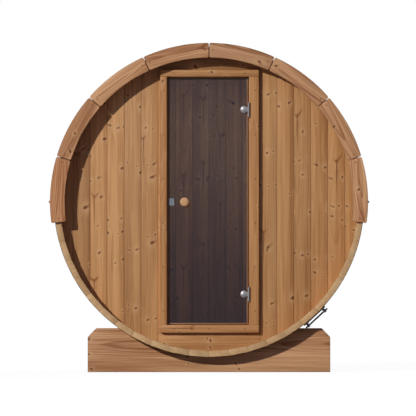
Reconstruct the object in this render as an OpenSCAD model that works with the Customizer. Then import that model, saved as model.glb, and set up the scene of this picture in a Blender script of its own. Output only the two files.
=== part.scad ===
// Barrel sauna: a round cabin of wooden staves that lies on two cradles.
// Millimetres, +Z up, ground at z = 0, the barrel's axis along Y, the door facing -Y.

/* [Barrel] */
// Radius from the axis to the outer faces of the staves
barrel_r = 1000; // [880:10:1200]
// Length of the staves
barrel_l = 1800; // [1500:50:2600]
// Thickness of the staves
stave_t = 38; // [30:1:46]
// Number of staves round the barrel
stave_n = 48; // [40:8:56]
// Height of the barrel's underside above the ground
ground_gap = 103; // [60:1:160]

/* [End walls] */
// Thickness of the end walls
wall_t = 38; // [30:1:46]
// How far the end walls stand back from the ends of the staves
wall_recess = 100; // [80:5:140]
// Width of a wall board
board_w = 110; // [90:1:140]
// Depth of the groove in the staves that holds an end wall
croze_d = 13; // [8:1:18]

/* [Arch trim] */
// Radial width of the arch trim
arch_w = 96; // [80:1:120]
// Thickness of the arch trim
arch_t = 28; // [20:1:36]
// Number of arch pieces on each side of the top
arch_n = 4; // [3:1:5]
// Angle that one arch piece covers
arch_angle = 24.45; // [18:0.05:30]
// Radius of the corners of an arch piece
arch_corner_r = 11; // [6:1:20]
// Gap between two arch pieces
arch_gap = 3; // [1:0.5:5]

/* [Cradles] */
// Width of a cradle
cradle_w = 1572; // [1400:10:1900]
// Height of a cradle
cradle_h = 270; // [220:5:330]
// Thickness of a cradle
cradle_t = 60; // [45:1:90]
// Chamfer at a cradle's upper corners
cradle_chamfer = 42; // [20:1:60]
// How far a cradle stands back from the ends of the staves
cradle_inset = 124; // [110:1:400]

/* [Hoops] */
// Width of a steel hoop
hoop_w = 30; // [20:1:40]
// Thickness of a steel hoop
hoop_t = 3.5; // [2:0.5:5]
// Distance from the ends of the staves to the middle of a hoop
hoop_inset = 60; // [40:1:90]
// Where the hoop's tensioner sits, clockwise from the top
tension_angle = 137.2; // [120:0.1:150]
// Length of the tensioner's threaded rod
rod_l = 187; // [160:1:220]
// Diameter of the threaded rod
rod_d = 12; // [8:1:16]
// Distance between the middles of the two lugs
lug_pitch = 130; // [100:1:150]
// Thickness of a lug
lug_t = 8; // [5:1:10]
// Height of a lug above the hoop
lug_h = 34; // [30:1:44]
// Height of the rod's axis above the hoop's inner face
rod_rise = 24; // [18:1:28]
// Width of the rod's nuts across their corners
nut_d = 22; // [16:1:24]
// Thickness of the rod's nuts
nut_t = 8; // [6:1:10]
// Diameter of the washers
washer_d = 26; // [20:1:30]
// Thickness of the washers
washer_t = 2; // [1:0.5:3]

/* [Side battens] */
// How far a side batten stands out from the staves
batten_out = 37; // [30:1:50]
// Height of a side batten where it meets the staves
batten_h = 76; // [60:1:100]

/* [Door frame] */
// Width of the opening inside the frame
door_w = 532; // [480:1:700]
// How far the opening's centre is to the right of the barrel's centre
door_shift = -8; // [-20:1:20]
// Gap from the inside of the barrel's top to the frame's top
frame_top_gap = 107; // [90:1:200]
// Gap from the inside of the barrel's bottom to the frame's bottom
frame_bottom_gap = 115; // [95:1:200]
// Width of the left jamb
jamb_left_w = 42; // [36:1:70]
// Width of the right jamb, which carries the hinges
jamb_right_w = 64; // [50:1:80]
// Height of the head
head_h = 44; // [36:1:70]
// Height of the bottom rail
sill_h = 50; // [36:1:80]
// How far the frame stands proud of the wall
frame_proud = 42; // [34:1:48]
// How far the stop reaches in from the frame
stop_w = 19; // [17:1:30]

/* [Glass door] */
// Thickness of the glass
glass_t = 8; // [6:1:10]
// How far the glass stands back from the frame's face
glass_setback = 34; // [28:1:40]
// Gap round the edge of the glass
glass_gap = 13; // [11:1:16]
// Gap between the closed glass and the stop, where the seal sits
seal_gap = 5; // [1:0.5:8]
// Diameter of the wooden knobs
knob_d = 58; // [40:1:70]
// How far a knob stands out from the glass
knob_l = 44; // [34:1:60]
// Distance from the glass's free edge to the middle of the knobs
knob_inset = 102; // [80:1:140]
// Diameter of a knob's foot on the glass
knob_foot_d = 29; // [22:1:36]
// Diameter of a knob's neck
knob_neck_d = 24; // [16:1:30]
// Height of a knob's foot, up to its neck
knob_neck_h = 13; // [8:1:16]
// Height of a knob's head
knob_head_h = 28; // [20:1:36]
// How much a knob's head rounds in at its rim
knob_round = 9; // [4:1:14]

/* [Hinges and latch] */
// Distance from the glass's top to the middle of the upper hinge
hinge_top_inset = 200; // [120:1:300]
// Distance from the glass's bottom to the middle of the lower hinge
hinge_bottom_inset = 187; // [120:1:300]
// Height of a hinge
hinge_h = 94; // [80:1:120]
// Height of a hinge's middle knuckle, which belongs to the door
mid_knuckle_h = 42; // [34:1:50]
// Diameter of a hinge's knuckles
knuckle_d = 11; // [10:1:13]
// Diameter of the hinge pins
pin_d = 6; // [5:0.5:7]
// Distance from the frame's face out to the hinge pin
hinge_proud = 12; // [10:1:16]
// Distance from the jamb's inner face in to the hinge pin
hinge_pin_inset = 2; // [1:0.5:4]
// Thickness of a hinge's leaf on the jamb
leaf_t = 3; // [2:0.5:4]
// Diameter of the round clamps on the glass
clamp_d = 46; // [40:1:54]
// Thickness of a clamp's outer disc
clamp_t = 12; // [9:1:14]
// Diameter of the bolt that draws a clamp's discs together
clamp_bolt_d = 14; // [10:1:18]
// Height of a clamp's arm
arm_h = 28; // [20:1:32]
// Thickness of a clamp's arm and of its inner disc
arm_t = 6; // [4:1:7]
// Width of the latch plate
latch_w = 35; // [28:1:45]
// Height of the latch plate
latch_h = 46; // [44:1:70]
// Thickness of the latch plates
latch_t = 2.5; // [2:0.5:4]
// Distance from the glass's free edge to the latch plates' bolt
latch_bolt_inset = 23; // [15:1:28]
// Diameter of the bolts that hold the knobs and the latch plates
door_bolt_d = 8; // [6:1:10]
// Width of the latch's keeper
keeper_w = 22; // [16:1:30]
// Height of the latch's keeper
keeper_h = 40; // [30:1:56]

/* [Floor] */
// Height of the bottom rail's upper edge above the floor
floor_drop = 43; // [20:1:60]
// Width of a floor slat
slat_w = 95; // [70:1:120]
// Gap between two floor slats
slat_gap = 14; // [8:1:20]
// Thickness of the floor slats
slat_t = 28; // [20:1:36]
// Height of the bearers under the slats
bearer_h = 60; // [50:1:70]
// Thickness of a bearer
bearer_t = 45; // [35:1:60]
// Distance from an end wall to the middle of the bearer next to it
bearer_inset = 152; // [80:1:250]
// Gap between the staves and the floor's outer edges
floor_edge_gap = 5; // [2:1:15]

/* [Hidden] */
fit = 0.3;             // clearance between pieces that seat on each other
joint_gap = 0.4;       // gap at the joint between two staves
joint_chamfer = 3;     // depth of the V along a stave's outer joints
pin_clearance = 0.08;  // radial clearance of a hinge pin in its knuckle
move_gap = 5;          // clearance between moving and fixed hardware
face_gap = 0.03;       // gap between a hinge's leaf and the jamb behind it

staves_a_node = stave_n / 8;
stave_angle = 360 / stave_n;
inner_r = barrel_r - stave_t;
axis_h = ground_gap + barrel_r;
end_y = barrel_l / 2;

// The widest radius that the staves' corners reach, and what seats on it
corner_x = barrel_r * tan(stave_angle / 2) - 2 * joint_chamfer;
corner_r = norm([corner_x, barrel_r]);
seat_r = corner_r + fit;

wall_front = -end_y + wall_recess;
wall_back = wall_front + wall_t;
croze_r = inner_r + croze_d;
wall_r = croze_r - fit;
arch_r = barrel_r - stave_t / 2 - arch_w / 2;

frame_top = inner_r - frame_top_gap;
frame_bottom = -inner_r + frame_bottom_gap;
open_top = frame_top - head_h;
open_bottom = frame_bottom + sill_h;
open_left = door_shift - door_w / 2;
open_right = door_shift + door_w / 2;
frame_left = open_left - jamb_left_w;
frame_right = open_right + jamb_right_w;
frame_front = wall_front - frame_proud;
// The bay is the whole number of wall boards that the frame needs, on each side
bay = ceil(max(-frame_left, frame_right) / board_w) * board_w;

glass_front = frame_front + glass_setback;
glass_back = glass_front + glass_t;
stop_front = glass_back + seal_gap;
glass_left = open_left + glass_gap;
glass_right = open_right - glass_gap;
glass_top = open_top - glass_gap;
glass_bottom = open_bottom + glass_gap;
knob_x = glass_left + knob_inset;

leaf_x = open_right - leaf_t;
hinge_x = open_right - hinge_pin_inset;
hinge_y = frame_front - hinge_proud;
hinge_top = glass_top - hinge_top_inset;
hinge_bottom = glass_bottom + hinge_bottom_inset;
clamp_x = leaf_x - move_gap - clamp_d / 2;
latch_bolt_x = glass_left + latch_bolt_inset;

floor_top = open_bottom - floor_drop;
slat_bottom = floor_top - slat_t;
bearer_bottom = slat_bottom - bearer_h;
room_half_l = end_y - wall_recess - wall_t;
floor_half_w = sqrt(pow(inner_r, 2) - pow(slat_bottom, 2)) - floor_edge_gap;
slat_pitch = slat_w + slat_gap;
slat_n = floor((2 * floor_half_w + slat_gap) / slat_pitch);
// Middles of the bearers, from the middle of the cabin
bearer_ys = [-1, 0, 1] * (room_half_l - bearer_inset);

lug_foot = sqrt(pow(seat_r + hoop_t / 2, 2) - pow(lug_pitch / 2, 2));

$fn = 96;
over = 1;              // how far a cutting solid runs past what it cuts

// ---- Frames and helpers ----

// Shapes drawn round the barrel's axis
module on_axis() translate([0, 0, axis_h]) children();

// A profile in X and Z, run along Y from y0 to y1
module along_y(y0, y1) translate([0, y1, 0]) rotate([90, 0, 0]) linear_extrude(y1 - y0) children();

// Turns what is drawn at the top of the barrel clockwise by an angle
module around(angle) rotate([0, angle, 0]) children();

// A box from its lowest and highest corners
module block(low, high) translate(low) cube(high - low);

module ring(outer_r, inner_r, y0, y1) along_y(y0, y1) difference() {
    circle(r = outer_r);
    circle(r = inner_r);
}

// The same piece at the rear, as seen from behind
module at_rear() mirror([0, 1, 0]) children();

module wood_pale() color([0.70, 0.54, 0.37]) children();
module wood() color([0.64, 0.47, 0.30]) children();
module wood_trim() color([0.66, 0.49, 0.34]) children();
module steel() color([0.55, 0.55, 0.57]) children();

// ---- Barrel shell ----

function half_width(r) = r * tan(stave_angle / 2) - joint_gap / 2;

module stave_profile() {
    shoulder_r = barrel_r - joint_chamfer;
    right = [
        [corner_x, barrel_r],
        [half_width(shoulder_r), shoulder_r],
        [half_width(inner_r), inner_r]
    ];
    left = [for (i = [2:-1:0]) [-right[i].x, right[i].y]];
    polygon(concat(right, left));
}

// The grooves that hold the two end walls
module crozes() for (side = [-1, 1]) {
    middle = side * (wall_front + wall_back) / 2;
    half = wall_t / 2 + fit;
    ring(croze_r, inner_r - 3 * over, middle - half, middle + half);
}

// One eighth of the shell, from the eighth's first stave clockwise
module staves(eighth) wood_pale() on_axis() difference() {
    for (i = [0:staves_a_node - 1])
        around((eighth * staves_a_node + i + 0.5) * stave_angle)
            along_y(-end_y, end_y) stave_profile();
    crozes();
}

module staves_top_right() staves(0);
module staves_upper_right() staves(1);
module staves_lower_right() staves(2);
module staves_bottom_right() staves(3);
module staves_bottom_left() staves(4);
module staves_lower_left() staves(5);
module staves_upper_left() staves(6);
module staves_top_left() staves(7);

// ---- Arch trim ----

function polar(r, angle) = [r * sin(angle), r * cos(angle)];

function arc(centre, r, from, to, steps) =
    [for (i = [0:steps]) centre + polar(r, from + (to - from) * i / steps)];

// Outline of one arch piece between two angles, with rounded corners
function arch_outline(a0, a1, r0, r1, rc) =
    let (outer_turn = asin(rc / (r1 - rc)), inner_turn = asin(rc / (r0 + rc)))
    concat(
        arc([0, 0], r1, a0 + outer_turn, a1 - outer_turn, 12),
        arc(polar(r1 - rc, a1 - outer_turn), rc, a1 - outer_turn, a1 + 90, 5),
        arc(polar(r0 + rc, a1 - inner_turn), rc, a1 + 90, a1 - inner_turn + 180, 5),
        arc([0, 0], r0, a1 - inner_turn, a0 + inner_turn, 12),
        arc(polar(r0 + rc, a0 + inner_turn), rc, a0 + inner_turn + 180, a0 + 270, 5),
        arc(polar(r1 - rc, a0 + outer_turn), rc, a0 + 270, a0 + outer_turn + 360, 5)
    );

module arch_half() wood_trim() on_axis() {
    gap_angle = arch_gap / (arch_r + arch_w / 2) * 180 / PI;
    for (i = [0:arch_n - 1]) {
        from = i * arch_angle + gap_angle / 2;
        to = (i + 1) * arch_angle - gap_angle / 2;
        along_y(-end_y - arch_t, -end_y)
            polygon(arch_outline(from, to, arch_r, arch_r + arch_w, arch_corner_r));
    }
}

module front_arch_right() arch_half();
module front_arch_left() mirror([1, 0, 0]) arch_half();
module rear_arch_right() at_rear() arch_half();
module rear_arch_left() at_rear() mirror([1, 0, 0]) arch_half();

// ---- Cradles ----

module cradle() wood_trim() along_y(-end_y + cradle_inset, -end_y + cradle_inset + cradle_t)
    difference() {
        half = cradle_w / 2;
        polygon([
            [-half, 0], [half, 0],
            [half, cradle_h - cradle_chamfer], [half - cradle_chamfer, cradle_h],
            [-half + cradle_chamfer, cradle_h], [-half, cradle_h - cradle_chamfer]
        ]);
        translate([0, axis_h]) circle(r = seat_r);
    }

module front_cradle() cradle();
module rear_cradle() at_rear() cradle();

// ---- Hoops and their tensioners ----

module rod_axis(d, l) translate([0, -end_y + hoop_inset, seat_r + rod_rise])
    rotate([0, 90, 0]) cylinder(d = d, h = l, center = true);

module lug(side) {
    middle = side * lug_pitch / 2;
    front = -end_y + hoop_inset - hoop_w / 2;
    block([middle - lug_t / 2, front, lug_foot],
          [middle + lug_t / 2, front + hoop_w, seat_r + lug_h]);
}

module hoop() steel() on_axis() {
    front = -end_y + hoop_inset - hoop_w / 2;
    ring(seat_r + hoop_t, seat_r, front, front + hoop_w);
    around(tension_angle) difference() {
        for (side = [-1, 1]) lug(side);
        rod_axis(rod_d + 2 * fit, rod_l);
    }
}

module tensioner() steel() on_axis() around(tension_angle) {
    rod_axis(rod_d, rod_l);
    for (side = [-1, 1]) {
        seat = side * (lug_pitch / 2 + lug_t / 2 + fit);
        translate([seat + side * washer_t / 2, 0, 0]) rod_axis(washer_d, washer_t);
        translate([seat + side * (washer_t + nut_t / 2), 0, 0]) rod_axis(nut_d, nut_t, $fn = 6);
    }
}

module front_hoop() hoop();
module rear_hoop() at_rear() hoop();
module front_tensioner() tensioner();
module rear_tensioner() at_rear() tensioner();

// ---- Side battens ----

module side_batten_right() wood_trim() on_axis() difference() {
    along_y(-end_y, end_y) polygon([
        [seat_r, -batten_h / 2], [seat_r + batten_out, 0], [seat_r, batten_h / 2]
    ]);
    for (side = [-1, 1]) {
        middle = side * (end_y - hoop_inset);
        half = hoop_w / 2 + over;
        ring(seat_r + hoop_t + fit, seat_r - over, middle - half, middle + half);
    }
}

module side_batten_left() mirror([1, 0, 0]) side_batten_right();

// ---- End walls ----

// The part of the wall's disc that lies in a box of X and Z
module wall_part(x0, x1, z0, z1) wood() on_axis() along_y(wall_front, wall_back) intersection() {
    circle(r = wall_r);
    translate([x0, z0]) square([x1 - x0, z1 - z0]);
}

module front_wall_left() wall_part(-barrel_r, -bay - fit, -barrel_r, barrel_r);
module front_wall_right() wall_part(bay + fit, barrel_r, -barrel_r, barrel_r);
module front_wall_above_door() wall_part(-bay, bay, frame_top + fit, barrel_r);
module front_wall_below_door() wall_part(-bay, bay, -barrel_r, frame_bottom - fit);
module rear_wall_left() at_rear() wall_part(-barrel_r, -fit / 2, -barrel_r, barrel_r);
module rear_wall_right() at_rear() wall_part(fit / 2, barrel_r, -barrel_r, barrel_r);

// ---- Door frame ----

// An upright between the two rails, between two places in X
module upright(x0, x1, y0, y1)
    block([min(x0, x1), y0, open_bottom + fit], [max(x0, x1), y1, open_top - fit]);

// A jamb: its proud part, the part within the wall and the stop
module jamb(outer, inner, side) wood() on_axis() {
    upright(outer, inner, frame_front, wall_back);
    upright(side * bay, inner, wall_front, wall_back);
    upright(inner, inner - side * stop_w, stop_front, wall_back);
}

// A rail: its proud part, the part within the wall and the stop between the jambs' stops
module rail(z0, z1, stop_z0, stop_z1) wood() on_axis() {
    block([frame_left, frame_front, z0], [frame_right, wall_back, z1]);
    block([-bay, wall_front, z0], [bay, wall_back, z1]);
    block([open_left + stop_w + fit, stop_front, stop_z0],
          [open_right - stop_w - fit, wall_back, stop_z1]);
}

module door_jamb_left() jamb(frame_left, open_left, -1);
// The right stop is notched where the back of a hinge clamp swings
module door_jamb_right() difference() {
    jamb(frame_right, open_right, 1);
    half = clamp_d / 2 + move_gap;
    on_axis() for (middle = [hinge_top, hinge_bottom])
        block([open_right - stop_w - over, stop_front - over, middle - half],
              [open_right, glass_back + fit + arm_t + move_gap, middle + half]);
}
module door_head() rail(open_top, frame_top, open_top - stop_w, open_top);
module door_sill() rail(frame_bottom, open_bottom, open_bottom, open_bottom + stop_w);

// ---- Floor ----

module floor_slats() wood_pale() on_axis() for (i = [0:slat_n - 1]) {
    left = (i - slat_n / 2) * slat_pitch + slat_gap / 2;
    block([left, -room_half_l + move_gap, slat_bottom],
          [left + slat_w, room_half_l - move_gap, floor_top]);
}

module floor_bearers() wood() on_axis() for (middle = bearer_ys)
    along_y(middle - bearer_t / 2, middle + bearer_t / 2) intersection() {
        circle(r = inner_r - fit);
        translate([-floor_half_w, bearer_bottom]) square([2 * floor_half_w, bearer_h - fit]);
    }

// ---- Hinges ----

module knuckle(z0, z1) translate([hinge_x, hinge_y, z0]) cylinder(d = knuckle_d, h = z1 - z0);

// The plate on the jamb: a leaf, two outer knuckles and the pin through them
module hinge_plate(middle) steel() on_axis() translate([0, 0, middle]) {
    top = hinge_h / 2;
    split = mid_knuckle_h / 2;
    block([leaf_x, frame_front + fit, -top], [open_right - face_gap, stop_front - 2 * fit, top]);
    for (side = [0, 1]) mirror([0, 0, side]) {
        knuckle(split + fit, top);
        block([leaf_x, hinge_y, split + fit], [open_right - face_gap, frame_front + over, top]);
    }
    translate([hinge_x, hinge_y, 0]) cylinder(d = pin_d, h = hinge_h - fit, center = true);
}

// The clamp on the glass: two discs, the bolt through the glass, the arm and the middle knuckle
module hinge_clamp(middle) steel() on_axis() translate([0, 0, middle]) difference() {
    web_x = leaf_x - move_gap - arm_t;
    arm = arm_h / 2;
    union() {
        translate([clamp_x, 0, 0]) {
            along_y(glass_front - fit - clamp_t, glass_front - fit) circle(d = clamp_d);
            along_y(glass_back + fit, glass_back + fit + arm_t) circle(d = clamp_d);
            along_y(glass_front - clamp_t, glass_back + arm_t) circle(d = clamp_bolt_d);
        }
        block([clamp_x, glass_front - clamp_t - fit, -arm], [web_x + arm_t, glass_front - arm_t, arm]);
        block([web_x, hinge_y - arm_t / 2, -arm], [web_x + arm_t, glass_front - arm_t, arm]);
        block([web_x, hinge_y - arm_t / 2, -arm], [hinge_x, hinge_y + arm_t / 2, arm]);
        knuckle(-mid_knuckle_h / 2, mid_knuckle_h / 2);
    }
    translate([hinge_x, hinge_y, 0])
        cylinder(d = pin_d + 2 * pin_clearance, h = mid_knuckle_h + 2 * over, center = true);
}

module upper_hinge_plate() hinge_plate(hinge_top);
module lower_hinge_plate() hinge_plate(hinge_bottom);
module upper_hinge_clamp() hinge_clamp(hinge_top);
module lower_hinge_clamp() hinge_clamp(hinge_bottom);

// ---- Door leaf ----

module door_glass() color([0.20, 0.17, 0.16, 0.6]) on_axis() difference() {
    block([glass_left, glass_front, glass_bottom], [glass_right, glass_back, glass_top]);
    along_y(glass_front - over, glass_back + over) {
        for (z = [hinge_bottom, hinge_top]) translate([clamp_x, z]) circle(d = clamp_bolt_d + 2 * fit);
        translate([knob_x, 0]) circle(d = door_bolt_d + 2 * fit);
        translate([latch_bolt_x, 0]) circle(d = door_bolt_d + 2 * fit);
    }
}

// A turned knob with its foot at z = 0, standing up along Z
module knob_form() {
    middle = knob_l - knob_head_h / 2;
    head = [for (a = [-40:10:80])
        [knob_d / 2 - knob_round + knob_round * cos(a), middle + knob_head_h / 2 * sin(a)]];
    rotate_extrude() polygon(concat(
        [[0, 0], [knob_foot_d / 2, 0], [knob_neck_d / 2, knob_neck_h]], head, [[0, knob_l]]
    ));
}

module door_knob_outside() wood_pale() on_axis() {
    translate([knob_x, glass_front - fit, 0]) rotate([90, 0, 0]) knob_form();
    translate([knob_x, 0, 0]) along_y(glass_front - fit - over, glass_back) circle(d = door_bolt_d);
}

module door_knob_inside() wood_pale() on_axis()
    translate([knob_x, glass_back + fit, 0]) rotate([-90, 0, 0]) knob_form();

// Plates on both faces of the glass, bolted through it
module latch_plate() steel() on_axis() {
    half = latch_h / 2;
    inner = open_left + stop_w + move_gap;
    block([glass_left, glass_front - fit - latch_t, -half],
          [glass_left + latch_w, glass_front - fit, half]);
    block([inner, glass_back + fit, -half], [glass_left + latch_w, glass_back + fit + latch_t, half]);
    translate([latch_bolt_x, 0, 0])
        along_y(glass_front - latch_t, glass_back + latch_t) circle(d = door_bolt_d);
}

// The magnet on the stop that holds the latch plate
module latch_keeper() steel() on_axis() {
    left = open_left + stop_w;
    front = glass_back + fit + latch_t + move_gap;
    block([left, front, -keeper_h / 2], [left + keeper_w, wall_back - fit, keeper_h / 2]);
}

staves_top_right();
staves_upper_right();
staves_lower_right();
staves_bottom_right();
staves_bottom_left();
staves_lower_left();
staves_upper_left();
staves_top_left();
front_arch_left();
front_arch_right();
rear_arch_left();
rear_arch_right();
front_cradle();
rear_cradle();
front_hoop();
rear_hoop();
front_tensioner();
rear_tensioner();
side_batten_left();
side_batten_right();
front_wall_left();
front_wall_right();
front_wall_above_door();
front_wall_below_door();
rear_wall_left();
rear_wall_right();
door_jamb_left();
door_jamb_right();
door_head();
door_sill();
floor_slats();
floor_bearers();
upper_hinge_plate();
lower_hinge_plate();
latch_keeper();
door_glass();
door_knob_outside();
door_knob_inside();
upper_hinge_clamp();
lower_hinge_clamp();
latch_plate();
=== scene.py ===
"""The looks of a barrel sauna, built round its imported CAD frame. Metres, +Z up, the door faces -Y."""
import math
import random

import bmesh
import bpy
from mathutils import Matrix, Vector


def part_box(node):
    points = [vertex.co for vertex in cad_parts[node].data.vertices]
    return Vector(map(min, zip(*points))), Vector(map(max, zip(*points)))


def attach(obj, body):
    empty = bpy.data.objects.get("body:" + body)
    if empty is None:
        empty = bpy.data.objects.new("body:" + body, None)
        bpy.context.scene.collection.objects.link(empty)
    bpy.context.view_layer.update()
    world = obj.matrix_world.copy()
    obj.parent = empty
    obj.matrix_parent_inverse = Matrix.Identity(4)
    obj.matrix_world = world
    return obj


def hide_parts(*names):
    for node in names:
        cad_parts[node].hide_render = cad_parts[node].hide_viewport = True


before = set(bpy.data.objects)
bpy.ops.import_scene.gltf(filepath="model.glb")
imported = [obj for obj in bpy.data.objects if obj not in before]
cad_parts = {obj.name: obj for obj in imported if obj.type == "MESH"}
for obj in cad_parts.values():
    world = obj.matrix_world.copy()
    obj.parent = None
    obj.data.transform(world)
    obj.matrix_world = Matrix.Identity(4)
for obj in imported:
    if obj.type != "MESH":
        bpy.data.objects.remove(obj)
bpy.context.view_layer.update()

# ---- Places and sizes, from the frame ----

MM = 0.001
AXES = {"x": 0, "y": 1, "z": 2}
QUARTER = math.pi / 2


def middle(node):
    low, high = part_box(node)
    return (low + high) / 2


AXIS_Z = middle("front_hoop").z
shell_low, shell_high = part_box("staves_upper_right")
END_Y = -shell_low.y
BARREL_R = shell_high.x
STAVE_N = 48
STAVE_ANGLE = 2 * math.pi / STAVE_N
STAVE_T = 38 * MM
INNER_R = BARREL_R - STAVE_T
STAVE_GAP = 0.4 * MM
STAVE_V = 3 * MM

HOOP_T = 3.5 * MM
HOOP_R = AXIS_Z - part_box("rear_hoop")[0].z
SEAT_R = HOOP_R - HOOP_T

wall_low, wall_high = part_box("front_wall_right")
WALL_FRONT, WALL_BACK = wall_low.y, wall_high.y
WALL_R = wall_high.x
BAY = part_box("front_wall_above_door")[1].x
BOARD_W = 110 * MM

ARCH_N = 4
ARCH_ANGLE = math.radians(24.45)
ARCH_GAP = 3 * MM
ARCH_T = -END_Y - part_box("front_arch_left")[0].y
ARCH_OUT = -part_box("front_arch_left")[0].x
ARCH_W = 96 * MM
ARCH_CORNER = 11 * MM
FRAME_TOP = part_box("door_head")[1].z - AXIS_Z
FRAME_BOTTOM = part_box("door_sill")[0].z - AXIS_Z


# ---- Shader graphs ----

class Graph:
    """Short names for making and linking shader nodes."""

    def __init__(self, tree):
        self.tree = tree

    def feed(self, socket, value):
        """Links an output to a socket, or sets the socket's own value."""
        if isinstance(value, bpy.types.NodeSocket):
            self.tree.links.new(value, socket)
        else:
            socket.default_value = value

    def node(self, kind, *values, **settings):
        """Makes a node, with its settings and its first inputs in order."""
        made = self.tree.nodes.new(kind)
        for name, value in settings.items():
            setattr(made, name, value)
        for socket, value in zip(made.inputs, values):
            self.feed(socket, value)
        return made

    def maths(self, operation, *values, clamp=False):
        return self.node("ShaderNodeMath", *values, operation=operation, use_clamp=clamp).outputs[0]

    def add(self, a, b):
        return self.maths("ADD", a, b)

    def sub(self, a, b):
        return self.maths("SUBTRACT", a, b)

    def mul(self, a, b):
        return self.maths("MULTIPLY", a, b)

    def div(self, a, b):
        return self.maths("DIVIDE", a, b)

    def fit(self, value, low, high):
        """Takes 0..1 to low..high."""
        return self.maths("MULTIPLY_ADD", value, high - low, low)

    def ramp(self, value, start, end):
        """0 at start and 1 at end, smooth between."""
        made = self.node("ShaderNodeMapRange", value, interpolation_type="SMOOTHSTEP")
        self.feed(made.inputs["From Min"], start)
        self.feed(made.inputs["From Max"], end)
        return made.outputs[0]

    def bell(self, value, width):
        """1 where value is 0, falling off over width."""
        share = self.div(value, width)
        return self.maths("EXPONENT", self.mul(self.mul(share, share), -1.0))

    def combine(self, x, y, z):
        return self.node("ShaderNodeCombineXYZ", x, y, z).outputs[0]

    def split(self, vector):
        return self.node("ShaderNodeSeparateXYZ", vector).outputs[:3]

    def mix(self, factor, a, b, mode="MIX"):
        made = self.node("ShaderNodeMix", data_type="RGBA", blend_type=mode)
        for index, value in ((0, factor), (6, a), (7, b)):
            self.feed(made.inputs[index], value)
        return made.outputs[2]

    def noise(self, vector, scales, detail=2.0, roughness=0.5):
        """Noise round 0.5, with a scale for each axis."""
        scaled = self.node("ShaderNodeVectorMath", vector, scales, operation="MULTIPLY").outputs[0]
        made = self.node("ShaderNodeTexNoise")
        for name, value in (("Vector", scaled), ("Scale", 1.0), ("Detail", detail),
                            ("Roughness", roughness)):
            self.feed(made.inputs[name], value)
        return made.outputs["Fac"]

    def random(self, x, y, z):
        """Three random numbers for a cell."""
        return self.split(self.node("ShaderNodeTexWhiteNoise", self.combine(x, y, z)).outputs["Color"])

    def attribute(self, name, output="Fac"):
        return self.node("ShaderNodeAttribute", attribute_name=name).outputs[output]

    def bump(self, height, strength, distance):
        made = self.node("ShaderNodeBump")
        for name, value in (("Strength", strength), ("Distance", distance), ("Height", height)):
            self.feed(made.inputs[name], value)
        return made.outputs[0]


def new_material(name):
    made = bpy.data.materials.new(name)
    made.use_nodes = True
    return made, Graph(made.node_tree), made.node_tree.nodes["Principled BSDF"]


# ---- Wood ----

def knots(g, across, along, share, seed, cell, sizes, branch):
    """A layer of knots, in rows across the board as branches grow, at most one to a cell.

    Gives their dark cores, the stain of the branch that runs up and out of each, the pale halo round
    them and how far they push the grain aside."""
    cell_w, cell_l = cell
    column, row = g.div(across, cell_w), g.div(along, cell_l)
    column_n, row_n = g.maths("FLOOR", column), g.maths("FLOOR", row)
    in_x = g.mul(g.sub(g.sub(column, column_n), 0.5), cell_w)
    in_z = g.mul(g.sub(g.sub(row, row_n), 0.5), cell_l)
    chance = g.random(column_n, row_n, seed)
    form = g.random(column_n, row_n, seed + 5.0)
    whorl = g.random(0.0, row_n, seed + 9.0)
    there = g.maths("LESS_THAN", chance[0], g.mul(share, g.fit(whorl[0], -1.1, 2.6)))

    spot = 0.24 * cell_w
    x = g.sub(in_x, g.fit(chance[1], -spot, spot))
    drop, jitter = 0.30 * cell_l, 14 * MM
    z = g.sub(in_z, g.add(g.fit(whorl[1], -drop, drop), g.fit(chance[2], -jitter, jitter)))
    size = g.fit(g.mul(form[0], form[0]), sizes[0] * MM, sizes[1] * MM)
    side = g.maths("SIGN", g.sub(across, x))
    lean = g.mul(side, g.fit(chance[1], 0.75, 1.35))
    sine, cosine = g.maths("SINE", lean), g.maths("COSINE", lean)
    outward = g.div(g.add(g.mul(x, sine), g.mul(z, cosine)), size)
    sideways = g.div(g.sub(g.mul(x, cosine), g.mul(z, sine)), size)
    reach = g.maths("SQRT", g.add(g.mul(g.mul(outward, outward), 0.5), g.mul(sideways, sideways)))
    core = g.mul(g.ramp(reach, 1.25, 0.4), g.fit(form[1], 0.6, 1.0))

    edge = g.ramp(g.maths("ABSOLUTE", in_x), 0.5 * cell_w, 0.36 * cell_w)
    trail = g.mul(g.ramp(outward, g.fit(form[2], 1.5, 7.0), 0.3), g.ramp(outward, -0.5, 0.5))
    stain = g.mul(g.mul(g.bell(sideways, 0.75), trail), g.mul(g.fit(form[2], 0.3, 0.9), branch))
    smear = g.mul(g.bell(g.div(x, size), 0.8), g.bell(g.div(z, size), g.fit(form[1], 2.0, 6.0)))
    stain = g.mul(g.maths("MAXIMUM", stain, g.mul(smear, g.fit(chance[2], 0.0, 0.4))), edge)

    around = g.maths("SQRT", g.add(g.mul(x, x), g.mul(g.mul(z, z), 0.5)))
    halo = g.mul(g.bell(around, g.mul(size, 2.4)), edge)
    return [g.mul(there, part) for part in (core, stain, halo, g.mul(halo, x))]


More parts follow.
